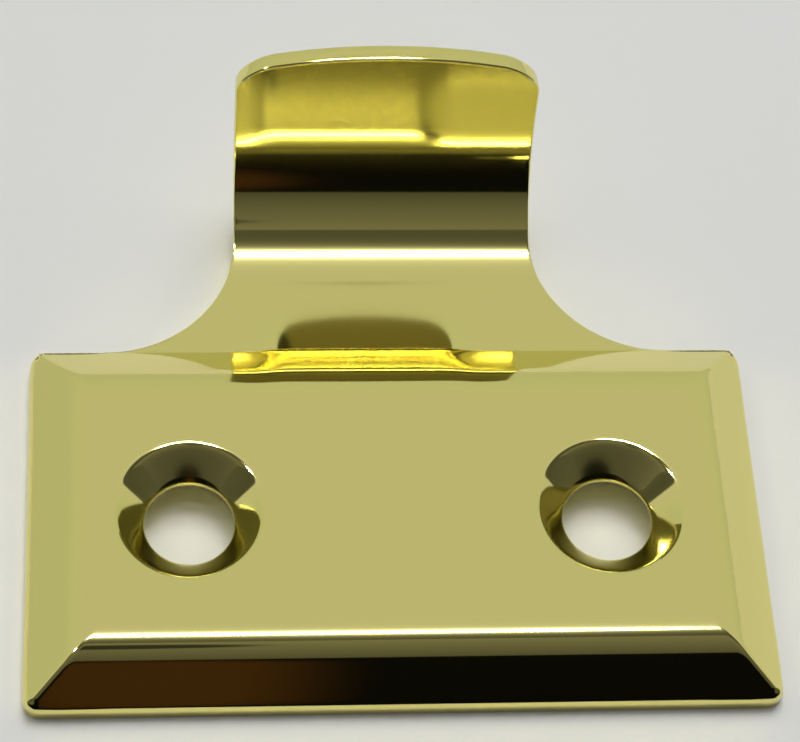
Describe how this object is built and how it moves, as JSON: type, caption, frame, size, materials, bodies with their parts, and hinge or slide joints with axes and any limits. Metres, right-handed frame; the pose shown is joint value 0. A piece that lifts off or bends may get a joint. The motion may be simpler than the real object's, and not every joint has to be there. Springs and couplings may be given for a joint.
{
  "type": "hook sash lift",
  "caption": "Pressed brass hook lift for a sliding sash window: bevelled plate with countersunk screw holes and a strip curled into a finger hook.",
  "frame": {"origin": "on the back plane, in the middle of the crease between the plate and the hook's strip", "axes": "+Z out of the face towards the user, +Y from the crease to the hook, +X along the row of screw holes"},
  "size_m": [0.0412, 0.0359, 0.0128],
  "materials": {
    "polished_brass": "polished and lacquered, with fine scratches"
  },
  "bodies": {
    "root": {"sash_lift": "polished_brass"}
  },
  "joints": []
}
